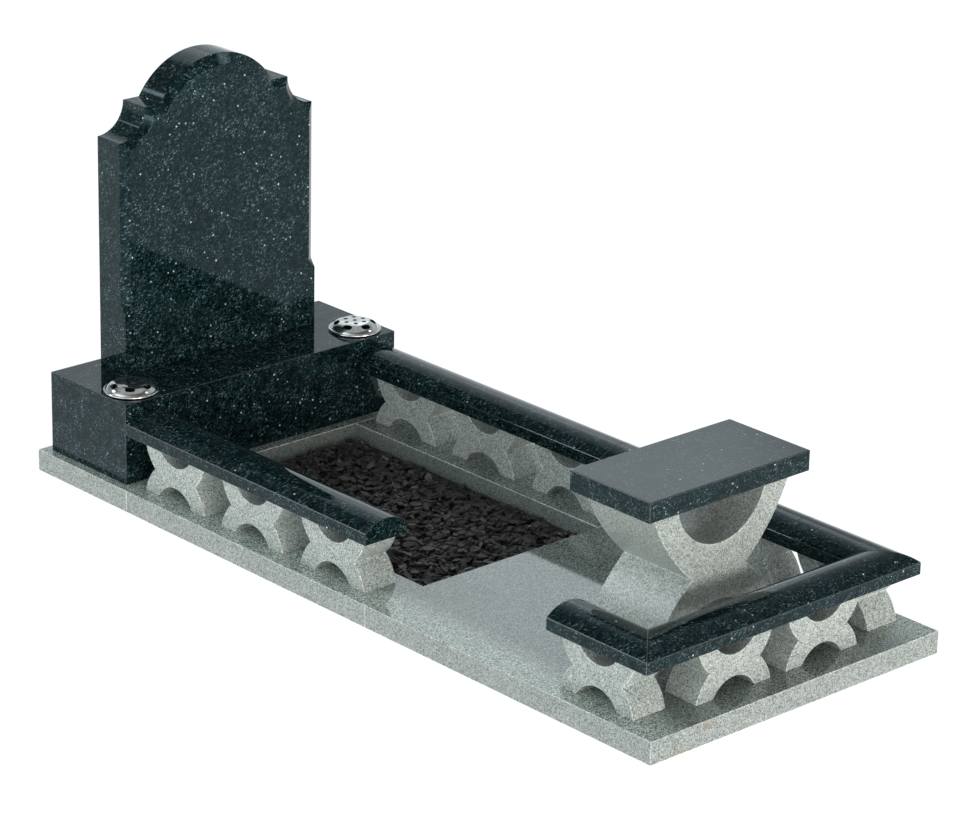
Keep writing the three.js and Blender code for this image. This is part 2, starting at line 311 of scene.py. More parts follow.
# %% Helpers for grain
def crystals(tree, place, size, stops, channel="Red"):
    """Colours cells of about one size at random. Also gives the distance to their middles."""
    cells = tree.nodes.new("ShaderNodeTexVoronoi")
    cells.inputs["Scale"].default_value = 1 / size
    tree.links.new(place, cells.inputs["Vector"])
    numbers = tree.nodes.new("ShaderNodeSeparateColor")
    tree.links.new(cells.outputs["Color"], numbers.inputs["Color"])
    return through_ramp(tree, numbers.outputs[channel], stops), cells.outputs["Distance"]


def soft_noise(tree, place, scale, stops):
    """A cloudy pattern run through a ramp."""
    noise = noise_texture(tree, place, scale, detail=3)
    return through_ramp(tree, noise.outputs["Fac"], stops)


def mix_colours(tree, mode, first, second, amount=1.0):
    """Mixes two colours. The amount is a number or another node's output."""
    mix = tree.nodes.new("ShaderNodeMix")
    mix.data_type = "RGBA"
    mix.blend_type = mode
    if isinstance(amount, float):
        mix.inputs[0].default_value = amount
    else:
        tree.links.new(amount, mix.inputs[0])
    tree.links.new(first, mix.inputs[6])
    tree.links.new(second, mix.inputs[7])
    return mix.outputs[2]


def base_colour(shader):
    """The output that now colours a shader."""
    return shader.inputs["Base Color"].links[0].from_socket


def tooth(tree, shader, place, scale, strength, depth):
    """Gives a surface a fine tooth with a bump map."""
    bump = tree.nodes.new("ShaderNodeBump")
    bump.inputs["Strength"].default_value = strength
    bump.inputs["Distance"].default_value = depth
    noise = noise_texture(tree, place, scale, detail=4)
    tree.links.new(noise.outputs["Fac"], bump.inputs["Height"])
    tree.links.new(bump.outputs["Normal"], shader.inputs["Normal"])


print("grain helpers are ready")

# %% [markdown]
# ### Dark granite
# The headstone, its base, the rails and the seat are a blue-green pearl granite. It is nearly
# black, with bluish clouds, and full of narrow feldspar crystals that lie in every direction. One
# Voronoi pattern gives tidy cells. Three of them, each stretched along its own axis, cross like
# the needles in the stone, and a wide noise gathers them in clusters.

# %% Minerals of the dark granite
DARK_BODY = [(0.34, (0.0002, 0.0018, 0.0015)), (0.66, (0.0016, 0.0100, 0.0092))]
BODY_SCALE = 120.0
BLUE_CLOUDS = [(0.46, (0.0, 0.0, 0.0)), (0.68, (0.0050, 0.0140, 0.0180))]
CLOUD_SCALE = 75.0
NEEDLES = [
    (0.00, (0.0, 0.0, 0.0)),
    (0.76, (0.0, 0.0, 0.0)),
    (0.88, (0.0030, 0.0078, 0.0082)),
    (0.955, (0.0120, 0.0220, 0.0240)),
    (1.00, (0.1050, 0.1380, 0.1500)),
]
NEEDLE_WIDTH = 2.1 * MM
NEEDLE_STRETCH = 3.2
NEEDLE_TURNS = [(0.4, 0.7, 0.2), (1.3, -0.5, 0.9), (-0.8, 1.1, -1.2)]
CLUSTERS = [(0.38, (0.3, 0.3, 0.3)), (0.62, (1.35, 1.35, 1.35))]
CLUSTER_SCALE = 24.0
print("needles lie in", len(NEEDLE_TURNS), "directions")

# %% [markdown]
# A few crystals flash. The pearls are large and soft and the flashes small and bright; the flashes
# are painted glints, near white in the colour itself. Both are cells of which only the middle is
# kept, so that they stand apart as round sparks. The polish is like glass, with a cool tint.

# %% Flashes and polish of the dark granite
PEARL_SIZE = 7.0 * MM
PEARLS = [(0.88, (0.0, 0.0, 0.0)), (0.94, (0.014, 0.030, 0.034)), (1.00, (0.100, 0.135, 0.150))]
PEARL_CORE = [(0.20, (1.0, 1.0, 1.0)), (0.46, (0.0, 0.0, 0.0))]
FLASH_SIZE = 8.5 * MM
# painted glints: tiny near-white cells in the colour stand in for sparkle
PAINTED_FLASHES = [(0.980, (0.0, 0.0, 0.0)), (0.984, (0.22, 0.38, 0.42)), (1.00, (0.90, 1.00, 1.00))]
FLASH_CORE = [(0.12, (1.0, 1.0, 1.0)), (0.34, (0.0, 0.0, 0.0))]
SPARKS = [(PEARL_SIZE, PEARLS, PEARL_CORE), (FLASH_SIZE, PAINTED_FLASHES, FLASH_CORE)]
POLISH_TINT = (0.62, 0.90, 1.0, 1)
DARK_BEND_SCALE = 200.0
DARK_BEND = 3.0 * MM


def stretched(tree, place, turn):
    """Turns the stone and squeezes it along one axis, so that round cells come out long."""
    mapping = tree.nodes.new("ShaderNodeMapping")
    mapping.vector_type = "TEXTURE"
    mapping.inputs["Rotation"].default_value = turn
    mapping.inputs["Scale"].default_value = (1, 1, NEEDLE_STRETCH)
    tree.links.new(place, mapping.inputs["Vector"])
    return mapping.outputs["Vector"]


dark_granite, tree, shader = new_finish("dark_pearl_granite", roughness=0.03, ior=1.31)
shader.inputs["Specular Tint"].default_value = POLISH_TINT
still = solid_place(tree)
bent = bent_place(tree, still, DARK_BEND_SCALE, DARK_BEND)
colour = soft_noise(tree, still, BODY_SCALE, DARK_BODY)
colour = mix_colours(tree, "ADD", colour, soft_noise(tree, still, CLOUD_SCALE, BLUE_CLOUDS))
clusters = soft_noise(tree, still, CLUSTER_SCALE, CLUSTERS)
for turn in NEEDLE_TURNS:
    needles, _ = crystals(tree, stretched(tree, bent, turn), NEEDLE_WIDTH, NEEDLES)
    colour = mix_colours(tree, "ADD", colour, mix_colours(tree, "MULTIPLY", needles, clusters))
for size, sparks, core in SPARKS:
    spark, middle = crystals(tree, bent, size, sparks, channel="Green")
    spark = mix_colours(tree, "MULTIPLY", spark, through_ramp(tree, middle, core))
    colour = mix_colours(tree, "ADD", colour, spark)
tree.links.new(colour, shader.inputs["Base Color"])
print("made", dark_granite.name)

# %% [markdown]
# Where an edge is eased, the polish is broken, and its colour is painted paler as a painted
# highlight. The eased edges could share the polish, but a finish of their own, with this painted
# highlight, is what draws the pale lines along the stones.

# %% Painted highlight on the edges of the dark granite
# painted highlight: a paler colour on the eased edges draws them as light lines
ARRIS_PAINTED_HIGHLIGHT = [(0.35, (0.008, 0.014, 0.015)), (0.65, (0.036, 0.050, 0.052))]
ARRIS_HIGHLIGHT_SCALE = 60.0

dark_arris, tree, shader = new_finish("dark_granite_arris", roughness=0.15, ior=1.6)
painted_highlight = soft_noise(tree, solid_place(tree), ARRIS_HIGHLIGHT_SCALE, ARRIS_PAINTED_HIGHLIGHT)
tree.links.new(painted_highlight, shader.inputs["Base Color"])
print("made", dark_arris.name)

# %% [markdown]
# ### Pale granite
# The platform, the balusters and the bench support are one fine-grained grey granite. The tops of
# the slabs are polished and their outer edges sawn. The balusters are honed and the bench support
# has a satin face. The walls round the plot have a darker tone, which is painted shade, and every
# eased edge a paler one, which is a painted highlight. One function makes all six finishes, so that
# the grain is the same.

# %% Grain and finishes of the pale granite
GRAIN_SIZE = 2.1 * MM
PALE_GRAIN = [
    (0.00, (0.22, 0.24, 0.23)),
    (0.16, (0.50, 0.53, 0.51)),
    (0.40, (0.92, 0.94, 0.92)),
    (0.75, (1.12, 1.13, 1.10)),
    (1.00, (1.50, 1.50, 1.46)),
]
COARSE_SIZE = 4.2 * MM
COARSE_GRAIN = [
    (0.00, (0.80, 0.81, 0.80)),
    (0.50, (1.00, 1.00, 1.00)),
    (1.00, (1.14, 1.13, 1.12)),
]
PALE_BEND_SCALE = 420.0
PALE_BEND = 1.6 * MM
TONE_CLOUD_SCALE = 5.0
DARKEST_TONE = 0.95
PALE_FINISHES = {
    "polished": {"tone": (0.22, 0.247, 0.24), "roughness": 0.06, "ior": 1.62},
    "sawn": {"tone": (0.36, 0.385, 0.375), "roughness": 0.55, "ior": 1.45},
    "honed": {"tone": (0.46, 0.49, 0.475), "roughness": 0.5, "ior": 1.45},
    "satin": {"tone": (0.45, 0.48, 0.46), "roughness": 0.28, "ior": 1.5},
    # painted shade: the walls that look in at the plot get a darker tone, for the shade that falls
    # there
    "inner": {"tone": (0.235, 0.265, 0.255), "roughness": 0.4, "ior": 1.45},
    # painted highlight: the eased edges get a paler tone, for the line of light they catch
    "arris": {"tone": (0.64, 0.67, 0.65), "roughness": 0.5, "ior": 1.45},
}
GRAIN_LAYERS = {"polished": 2}
TOOTH = {
    "polished": (900.0, 0.02, 0.2 * MM),
    "sawn": (700.0, 0.25, 0.5 * MM),
    "honed": (700.0, 0.2, 0.5 * MM),
    "satin": (700.0, 0.06, 0.3 * MM),
    "inner": (700.0, 0.15, 0.4 * MM),
    "arris": (700.0, 0.15, 0.4 * MM),
}
print("finishes of the pale granite:", ", ".join(PALE_FINISHES))

# %% [markdown]
# A polish deepens the contrast of the grain, because nothing scatters on the surface, so there the
# fine grain is laid on twice. The tooth of each finish is the scale, the strength and the depth of
# its bump map.

# %% Mix the pale granite
def pale_granite(finish):
    """Pale granite in one of its finishes."""
    values = PALE_FINISHES[finish]
    tone = values["tone"]
    name = "pale_granite_" + finish
    material, tree, shader = new_finish(name, values["roughness"], values["ior"])
    still = solid_place(tree)
    bent = bent_place(tree, still, PALE_BEND_SCALE, PALE_BEND)
    fine, _ = crystals(tree, bent, GRAIN_SIZE, PALE_GRAIN)
    grain, _ = crystals(tree, bent, COARSE_SIZE, COARSE_GRAIN, channel="Blue")
    for layer in range(GRAIN_LAYERS.get(finish, 1)):
        grain = mix_colours(tree, "MULTIPLY", grain, fine)
    darker = tuple(DARKEST_TONE * v for v in tone)
    clouds = soft_noise(tree, still, TONE_CLOUD_SCALE, [(0.3, darker), (0.7, tone)])
    colour = mix_colours(tree, "MULTIPLY", grain, clouds)
    tree.links.new(colour, shader.inputs["Base Color"])
    tooth(tree, shader, still, *TOOTH[finish])
    return material


pale = {finish: pale_granite(finish) for finish in PALE_FINISHES}
print("made", ", ".join(material.name for material in pale.values()))

# %% [markdown]
# Outside the kerb the tops are painted paler: painted light, for the low light from the side that
# falls there. A second set of slabs would need another finish and a hard line between the two, so
# the polish itself is lifted towards the platform's long edges instead.

# %% Paint light on the margins of the polish
LIT_MARGIN = 150 * MM
PAINTED_LIGHT_LIFT = [(0.1, (1.0, 1.0, 1.0)), (0.6, (2.0, 2.0, 2.0))]

platform_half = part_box("side_strip_right")[1][0]
tree = pale["polished"].node_tree
shader = tree.nodes["Principled BSDF"]
split = tree.nodes.new("ShaderNodeSeparateXYZ")
tree.links.new(solid_place(tree), split.inputs["Vector"])
sideways = calculate(tree, "ABSOLUTE", split.outputs["X"])
past_edge = calculate(tree, "SUBTRACT", sideways, platform_half)
nearness = calculate(tree, "ADD", calculate(tree, "DIVIDE", past_edge, LIT_MARGIN), 1)
# painted light: the polish is made up to twice as pale towards the long edges
lift = through_ramp(tree, nearness, PAINTED_LIGHT_LIFT)
painted_lighter = mix_colours(tree, "MULTIPLY", base_colour(shader), lift)
tree.links.new(painted_lighter, shader.inputs["Base Color"])
print("the margins outside", round(platform_half - LIT_MARGIN, 3), "m are lifted")

# %% [markdown]
# Two faint rust stains sit low on the sawn front edge, where iron in the stone has weathered. Each
# is a soft spot in space that tints the grain, broken up by noise.

# %% Stain the sawn edge
RUST = (1.0, 0.55, 0.25, 1)
RUST_SCALE = 260.0
RUST_BREAKS = [(0.4, (0.2, 0.2, 0.2)), (0.6, (1.0, 1.0, 1.0))]
STAINS = [
    ((-0.374, -1.1, 0.002), (0.020, 0.02, 0.022)),
    ((-0.288, -1.1, 0.044), (0.026, 0.02, 0.009)),
]


def rust_stain(material, spot, reach):
    """Tints a material with rust round a spot, as far as its reach along each axis."""
    tree = material.node_tree
    shader = tree.nodes["Principled BSDF"]
    still = solid_place(tree)
    offset = vector_math(tree, "SUBTRACT", still, spot)
    scaled = vector_math(tree, "DIVIDE", offset.outputs["Vector"], reach)
    distance = vector_math(tree, "LENGTH", scaled.outputs["Vector"])
    fading = calculate(tree, "SUBTRACT", 1, distance.outputs["Value"])
    broken = soft_noise(tree, still, RUST_SCALE, RUST_BREAKS)
    fading = calculate(tree, "MAXIMUM", calculate(tree, "MULTIPLY", fading, broken), 0)
    rust = tree.nodes.new("ShaderNodeRGB")
    rust.outputs[0].default_value = RUST
    clean = base_colour(shader)
    rusty = mix_colours(tree, "MULTIPLY", clean, rust.outputs[0])
    stained = mix_colours(tree, "MIX", clean, rusty, fading)
    tree.links.new(stained, shader.inputs["Base Color"])


for spot, reach in STAINS:
    rust_stain(pale["sawn"], spot, reach)
print("stains on the sawn edge:", len(STAINS))

# %% [markdown]
# ### Chrome
# The lids are bright chrome over pressed steel, a little uneven as buffing leaves it. Underneath
# they are bare dark steel, which is what the holes show. One metal finish for both would make the
# holes gleam, so the inside has a dull one of its own.

# %% Chrome
CHROME_TONES = [(0.35, (0.56, 0.555, 0.545)), (0.65, (0.68, 0.68, 0.675))]
CHROME_SCALE = 90.0
STEEL_TONES = [(0.35, (0.020, 0.021, 0.022)), (0.65, (0.040, 0.041, 0.042))]
STEEL_SCALE = 220.0

chrome, tree, shader = new_finish("bright_chrome", roughness=0.07, ior=1.5)
shader.inputs["Metallic"].default_value = 1.0
still = solid_place(tree)
tone = soft_noise(tree, still, CHROME_SCALE, CHROME_TONES)
tree.links.new(tone, shader.inputs["Base Color"])
tooth(tree, shader, still, scale=160.0, strength=0.03, depth=0.3 * MM)

pressed_steel, tree, shader = new_finish("unpolished_steel", roughness=0.65, ior=1.5)
tone = soft_noise(tree, solid_place(tree), STEEL_SCALE, STEEL_TONES)
tree.links.new(tone, shader.inputs["Base Color"])
print("made", chrome.name, "and", pressed_steel.name)

# %% [markdown]
# ### Slate
# Slate splits in thin layers, and each flake has a tone of its own. The mesh will carry a colour
# for every flake, and the finish reads it and adds the fine layers, so that one material serves
# thousands of flakes.

# %% Slate
FLAKE_TONE = "flake_tone"
SLATE_BEND_SCALE = 80.0
SLATE_BEND = 3.0 * MM
LAYERS = [(0.3, (0.75, 0.73, 0.73)), (0.7, (1.2, 1.18, 1.18))]
LAYER_SCALE = 260.0

slate, tree, shader = new_finish("plum_slate", roughness=0.4, ior=1.5)
still = solid_place(tree)
tone = tree.nodes.new("ShaderNodeVertexColor")
tone.layer_name = FLAKE_TONE
bent = bent_place(tree, still, SLATE_BEND_SCALE, SLATE_BEND)
layers = soft_noise(tree, bent, LAYER_SCALE, LAYERS)
layered = mix_colours(tree, "MULTIPLY", tone.outputs["Color"], layers)
tree.links.new(layered, shader.inputs["Base Color"])
tooth(tree, shader, still, scale=420.0, strength=0.45, depth=0.6 * MM)
print("made", slate.name)

# %% [markdown]
# ## Working the stones
# Each measured stone is replaced by a dressed one of the same size and in the same place. One
# helper files a new mesh in the scene and says which stone it stands for. Another eases its edges:
# a real arris is never dead sharp, and the narrow round catches a line of light. A bevel modifier
# that works by angle finds those edges by itself and leaves the curves alone. It can also give the
# new faces a finish of their own.

# %% Helpers for dressed pieces
EASE_ANGLE = math.radians(24)
NO_ARRIS = -1


def dressed(node, vertices, faces, slot, *materials):
    """Makes the dressed piece that stands for one measured node."""
    mesh = bpy.data.meshes.new("dressed_" + node)
    mesh.from_pydata([tuple(v) for v in vertices], [], faces)
    mesh.validate()
    for material in materials:
        mesh.materials.append(material)
    piece = bpy.data.objects.new("dressed_" + node, mesh)
    bpy.context.scene.collection.objects.link(piece)
    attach(piece, "root")
    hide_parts(node)
    return piece


def ease_edges(piece, width, segments=3, arris=NO_ARRIS):
    """Rounds the edges that turn by more than the easing angle. arris is the slot of its finish."""
    piece.data.shade_smooth()
    bevel = piece.modifiers.new("arris", "BEVEL")
    bevel.width = width
    bevel.segments = segments
    bevel.limit_method = "ANGLE"
    bevel.angle_limit = EASE_ANGLE
    bevel.harden_normals = True
    bevel.material = arris
    return piece


print("dressing helpers are ready")

# %% [markdown]
# Blocks and prisms come back in many stones, so their corners and faces are worked out by helpers.
# Blender's own cube would do for a block, but it would have to be scaled, and a bevel on a scaled
# object comes out uneven.

# %% Helpers for blocks and prisms
def box_mesh(low, high):
    """Corners and faces of a box."""
    vertices = [
        (x, y, z) for z in (low[2], high[2]) for y in (low[1], high[1]) for x in (low[0], high[0])
    ]
    faces = [(0, 2, 3, 1), (4, 5, 7, 6), (0, 1, 5, 4), (1, 3, 7, 5), (3, 2, 6, 7), (2, 0, 4, 6)]
    return vertices, faces


def prism_faces(lower, upper):
    """Ends and sides between two outlines that run anticlockwise, seen from the upper one."""
    sides = zip(lower, lower[1:] + lower[:1], upper[1:] + upper[:1], upper)
    return [tuple(reversed(lower)), tuple(upper), *sides]


def block(node, slot, *materials):
    """A block with square corners that fills the node's box."""
    return dressed(node, *box_mesh(*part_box(node)), slot, *materials)


print("a prism on a square has", len(prism_faces([0, 1, 2, 3], [4, 5, 6, 7])), "faces")

# %% [markdown]
# ## Platform
# Four thick slabs lie edge to edge. Their tops are polished, the outer edges are sawn, and the
# walls towards the plot are darker, as painted shade. The block could be one material with a mask,
# but a material slot for each kind of face keeps the line between the finishes exactly on the
# arris, where the polisher's wheel stops.

# %% Platform slabs
PLATFORM_NODES = ["head_landing", "foot_slab", "side_strip_left", "side_strip_right"]
PLATFORM_FINISHES = ["polished", "sawn", "inner", "arris"]
PLATFORM_EASE = 1.6 * MM


def platform_finish(face):
    """The finish of a slab's face: on top, looking outwards, or looking in at the plot."""
    outward = face.center.x * face.normal.x + face.center.y * face.normal.y
    if face.normal.z > 0.5:
        return "polished"
    return "sawn" if outward > 0 else "inner"


for node in PLATFORM_NODES:
    piece = block(node, "pale_granite", *(pale[finish] for finish in PLATFORM_FINISHES))
    for face in piece.data.polygons:
        face.material_index = PLATFORM_FINISHES.index(platform_finish(face))
    ease_edges(piece, PLATFORM_EASE, arris=PLATFORM_FINISHES.index("arris"))
    print(piece.name, [round(v, 3) for v in piece.dimensions])

# %% [markdown]
# ## Headstone base
# One block, polished on every face that shows. Its edges are eased a little less than the slabs'
# and have the paler edge finish, a painted highlight, as their second material.

# %% Headstone base
DARK_EASE = 1.4 * MM
DARK_FINISHES = (dark_granite, dark_arris)
DARK_ARRIS = DARK_FINISHES.index(dark_arris)

base = block("headstone_base", "dark_granite", *DARK_FINISHES)
ease_edges(base, DARK_EASE, arris=DARK_ARRIS)
print(base.name, [round(v, 3) for v in base.dimensions])

# %% [markdown]
# ## Arcs
# All the shaped stones are made of straight lines and arcs of circles. `arc_to` adds an arc to an
# outline by its end point, its radius and the side it bends to, as a mason would strike it from a
# drawing. Curves are kept as many short facets, because a smooth outline shows at once on a
# polish.

# %% Strike an arc
def arc_to(outline, x, y, radius, bend, steps):
    """Adds an arc from the outline's last point: left-hand for a bend of 1, right-hand for -1."""
    from_x, from_y = outline[-1]
    chord = math.hypot(x - from_x, y - from_y)
    reach = math.sqrt(radius ** 2 - (chord / 2) ** 2)
    centre_x = (from_x + x) / 2 - bend * reach * (y - from_y) / chord
    centre_y = (from_y + y) / 2 + bend * reach * (x - from_x) / chord
    start = math.atan2(from_y - centre_y, from_x - centre_x)
    sweep = bend * 2 * math.asin(chord / 2 / radius)
    for i in range(1, steps):
        angle = start + sweep * i / steps
        outline.append((centre_x + radius * math.cos(angle), centre_y + radius * math.sin(angle)))
    outline.append((x, y))


def span_radius(width, rise):
    """Radius of the arc that spans a width and rises a height in its middle."""
    return (width ** 2 / 4 + rise ** 2) / (2 * rise)


trial = [(0.0, 0.0)]
arc_to(trial, 1.0, 0.0, span_radius(1.0, 0.2), -1, 8)
print("an arc over 1.0 with a rise of 0.2 peaks at", round(max(y for x, y in trial), 3))

# %% [markdown]
# ## Headstone
# The slab has a round arch between two square shoulders and a hollow quarter-round under each. A
# chamfer runs round the front and dies out in a stop near the bottom of each side. The chamfer
# follows an outline of its own, set in from the first, so one function draws both.

# %% Outline of the headstone
STONE_SHOULDER = 675 * MM
STONE_SCOTIA = 79 * MM
STONE_ARCH = 208 * MM
STONE_CHAMFER_WIDTH = 20 * MM
STONE_CHAMFER_DEPTH = 16 * MM
STONE_ARCH_CHAMFER = 27 * MM
STONE_STOP = 156 * MM
STONE_STOP_RISE = 22 * MM
SCOTIA_STEPS = 24
ARCH_STEPS = 40

stone_low, stone_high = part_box("headstone")
stone_half = (stone_high[0] - stone_low[0]) / 2
stone_height = stone_high[2] - stone_low[2]


def stone_outline(inset, arch_inset):
    """The whole outline, from the foot of the right side over the arch to the foot of the left."""
    side = stone_half - inset
    shoulder = STONE_SHOULDER - inset
    scotia = STONE_SCOTIA + inset
    reach = math.sqrt(scotia ** 2 - inset ** 2)
    half = [(stone_half, 0.0), (stone_half, STONE_STOP), (side, STONE_STOP + STONE_STOP_RISE)]
    half.append((side, STONE_SHOULDER - reach))
    arc_to(half, stone_half - reach, shoulder, scotia, -1, SCOTIA_STEPS)
    arch_centre = stone_height - STONE_ARCH
    spring = math.sqrt(STONE_ARCH ** 2 - (STONE_SHOULDER - arch_centre) ** 2) - inset / 2
    half.append((spring, shoulder))
    crown = stone_height - arch_inset
    arc_to(half, 0.0, crown, span_radius(2 * spring, crown - shoulder), 1, ARCH_STEPS)
    return half + [(-x, y) for x, y in reversed(half[:-1])]


print("points in the outline:", len(stone_outline(0, 0)))

# %% [markdown]
# Cutting the chamfer with a boolean would leave ragged stops, so the stone is lofted from three
# outlines with the same number of points: the front face, the back of the chamfer, and the back
# face. The loft makes many triangles, and those that lie in one plane are melted together again.

# %% Loft the headstone
STONE_EASE = 1.2 * MM
FLAT_ANGLE = math.radians(0.2)


def loft(rings):
    """Faces between rings of equal length, split along the shorter diagonal, and both ends."""
    count = len(rings[0])
    vertices = [Vector(point) for ring in rings for point in ring]
    faces = []
    for r in range(len(rings) - 1):
        for j in range(count):
            a, b = r * count + j, r * count + (j + 1) % count
            c, d = a + count, b + count
            if (vertices[a] - vertices[d]).length <= (vertices[c] - vertices[b]).length:
                faces += [(a, c, d), (a, d, b)]
            else:
                faces += [(a, c, b), (b, c, d)]
    faces.append(tuple(range(count)))
    faces.append(tuple(reversed(range(len(vertices) - count, len(vertices)))))
    return vertices, faces


def join_flat_faces(mesh):
    """Melts the edges between faces that lie in one plane."""
    work = bmesh.new()
    work.from_mesh(mesh)
    bmesh.ops.dissolve_limit(work, angle_limit=FLAT_ANGLE, verts=work.verts, edges=work.edges)
    work.to_mesh(mesh)
    work.free()


def stone_ring(y, inset=0, arch_inset=0):
    """The stone's outline, set in from the edge, at one depth."""
    return [(x, y, stone_low[2] + z) for x, z in stone_outline(inset, arch_inset)]


front = stone_ring(stone_low[1], STONE_CHAMFER_WIDTH, STONE_ARCH_CHAMFER)
behind_chamfer = stone_ring(stone_low[1] + STONE_CHAMFER_DEPTH)
rear = stone_ring(stone_high[1])
loft_mesh = loft([front, behind_chamfer, rear])
headstone = dressed("headstone", *loft_mesh, "dark_granite", dark_granite)
join_flat_faces(headstone.data)
ease_edges(headstone, STONE_EASE)
print(headstone.name, len(headstone.data.polygons), "faces")

# %% [markdown]
# ## Balusters and bench support
# They are the same form at two sizes: two rings set back to back, sawn from a thick slab. The
# sides swell out from a sharp waist and a round notch is cored out of the top and the bottom. An
# outline extruded through the slab is the whole shape, so it is drawn once as a function and used
# thirteen times. The node's box gives each one its place, and its shorter side is the slab's
# thickness.

# %% Outline of a spool
SPOOL_ARRIS = 1


def spool_outline(length, height, form):
    """The face of a spool, anticlockwise from its lower left corner."""
    half, waist, notch = length / 2, form["waist"] / 2, form["notch_width"] / 2
    notch_radius = span_radius(form["notch_width"], form["notch_depth"])
    steps = form["steps"]
    outline = [(-half, 0.0), (-notch, 0.0)]
    arc_to(outline, notch, 0.0, notch_radius, -1, 2 * steps)
    outline.append((half, 0.0))
    arc_to(outline, waist, height / 2, form["side_radius"], 1, steps)
    arc_to(outline, half, height, form["side_radius"], 1, steps)
    outline.append((notch, height))
    arc_to(outline, -notch, height, notch_radius, -1, 2 * steps)
    outline.append((-half, height))
    arc_to(outline, -waist, height / 2, form["side_radius"], 1, steps)
    arc_to(outline, -half, 0.0, form["side_radius"], 1, steps)
    return outline[:-1]


def spool(node, form, finish):
    """Extrudes the outline through the thickness of the node's box."""
    low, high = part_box(node)
    size = Vector(high) - Vector(low)
    middle = (Vector(low) + Vector(high)) / 2
    along_y = size.y > size.x
    length, thickness = (size.y, size.x) if along_y else (size.x, size.y)
    outline = spool_outline(length, size.z, form)
    vertices = []
    for side in (0.5, -0.5):
        for x, z in outline:
            offset = (-side * thickness, x) if along_y else (x, side * thickness)
            vertices.append((middle.x + offset[0], middle.y + offset[1], low[2] + z))
    rear = list(range(len(outline)))
    faces = prism_faces(rear, [i + len(outline) for i in rear])
    return dressed(node, vertices, faces, "pale_granite", finish, pale["arris"])


print("the spool outline is ready")

# %% [markdown]
# Twelve balusters carry the rails. They are alike, so one set of sizes serves all of them, and the
# frame's own list of nodes says where they stand. Their edges are eased enough to show as pale
# lines, helped by a paler finish on them that is a painted highlight.

# %% Cut the balusters
BALUSTER = {
    "waist": 156 * MM,
    "notch_width": 128 * MM,
    "notch_depth": 38 * MM,
    "side_radius": 118 * MM,
    "steps": 14,
}
SPOOL_EASE = 2.0 * MM

baluster_nodes = sorted(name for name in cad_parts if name.startswith("baluster_"))
for node in baluster_nodes:
    ease_edges(spool(node, BALUSTER, pale["honed"]), SPOOL_EASE, arris=SPOOL_ARRIS)
print("balusters:", len(baluster_nodes))

# %% [markdown]
# The bench stands on one large spool. Its notches are deeper and its sides flatter than a
# baluster's, and its satin face is smoother, as hands and knees touch it.

# %% Cut the bench support
SUPPORT = {
    "waist": 171 * MM,
    "notch_width": 275 * MM,
    "notch_depth": 116 * MM,
    "side_radius": 472 * MM,
    "steps": 28,
}

support = ease_edges(spool("bench_support", SUPPORT, pale["satin"]), SPOOL_EASE, arris=SPOOL_ARRIS)
print(support.name, [round(v, 3) for v in support.dimensions])

# %% [markdown]
# ## Rails
# A coping rail has a flat underside, upright sides and a shallow round top. Its section is
# extruded along the run, and at the foot corners the end is sheared by 45 degrees to make the
# mitre. A curve with a bevel profile would also sweep it, but it would pinch at the mitres. The
# two numbers of each rail are the shears of its start and its end, where 0 is a square end.

# %% Rails
RAIL_SIDE = 29 * MM
CROWN_STEPS = 48
RAIL_EASE = 1.6 * MM
SHEARS = {
    "rail_left_head": (0, 0),
    "rail_left_return": (0, -1),
    "rail_foot": (1, -1),
    "rail_right_return": (0, 1),
    "rail_right_middle": (0, 0),
    "rail_right_head": (0, 0),
}


def rail_section(width, height):
    """The rail's section, anticlockwise from its lower left corner, with its middle at 0."""
    half = width / 2
    section = [(-half, 0.0), (half, 0.0), (half, RAIL_SIDE)]
    arc_to(section, -half, RAIL_SIDE, span_radius(width, height - RAIL_SIDE), 1, CROWN_STEPS)
    return section


def rail(node, start_shear, end_shear):
    """Extrudes the rail's section along its node's box, from the start towards the end."""
    low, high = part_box(node)
    size = Vector(high) - Vector(low)
    along_x = size.x > size.y
    width, run = (size.y, size.x) if along_x else (size.x, size.y)
    half = width / 2
    section = rail_section(width, size.z)
    start = half * abs(start_shear)
    end = run - half * abs(end_shear)
    vertices = []
    for place, shear in ((start, start_shear), (end, end_shear)):
        for x, z in section:
            along = place + shear * x
            if along_x:
                vertices.append((low[0] + along, low[1] + half + x, low[2] + z))
            else:
                vertices.append((low[0] + half + x, high[1] - along, low[2] + z))
    first = list(range(len(section)))
    faces = prism_faces(first, [i + len(section) for i in first])
    return dressed(node, vertices, faces, "dark_granite", *DARK_FINISHES)


for node, (start_shear, end_shear) in SHEARS.items():
    piece = ease_edges(rail(node, start_shear, end_shear), RAIL_EASE, arris=DARK_ARRIS)
    print(piece.name, [round(v, 3) for v in piece.dimensions])

# %% [markdown]
# ## Bench seat
# The seat is a plain slab, polished all round. Its edges are eased more than those of the base and
# in finer steps, because people sit on it.

# %% Bench seat
SEAT_EASE = 2.6 * MM
SEAT_SEGMENTS = 4

seat = block("bench_seat", "dark_granite", *DARK_FINISHES)
ease_edges(seat, SEAT_EASE, SEAT_SEGMENTS, DARK_ARRIS)
print(seat.name, [round(v, 3) for v in seat.dimensions])

# %% [markdown]
# ## Chrome lids
# Each lid is pressed from thin steel: a nearly flat crown, a quick shoulder and a rolled bead. Its
# section is drawn first, in and out again, so that the shell gets its real thickness. A plain arc
# would make the crown too round, so a power keeps it flat in the middle and drops it at the rim.

# %% Section of the lid
LID_RADIUS = 68.5 * MM
LID_BEAD = 3.5 * MM
LID_WALL = 1.5 * MM
LID_FLATNESS = 5
LID_SHOULDER = 0.8
DOME_STEPS = 32
BEAD_STEPS = 20
BEAD_START = math.radians(-90)
BEAD_END = math.radians(150)


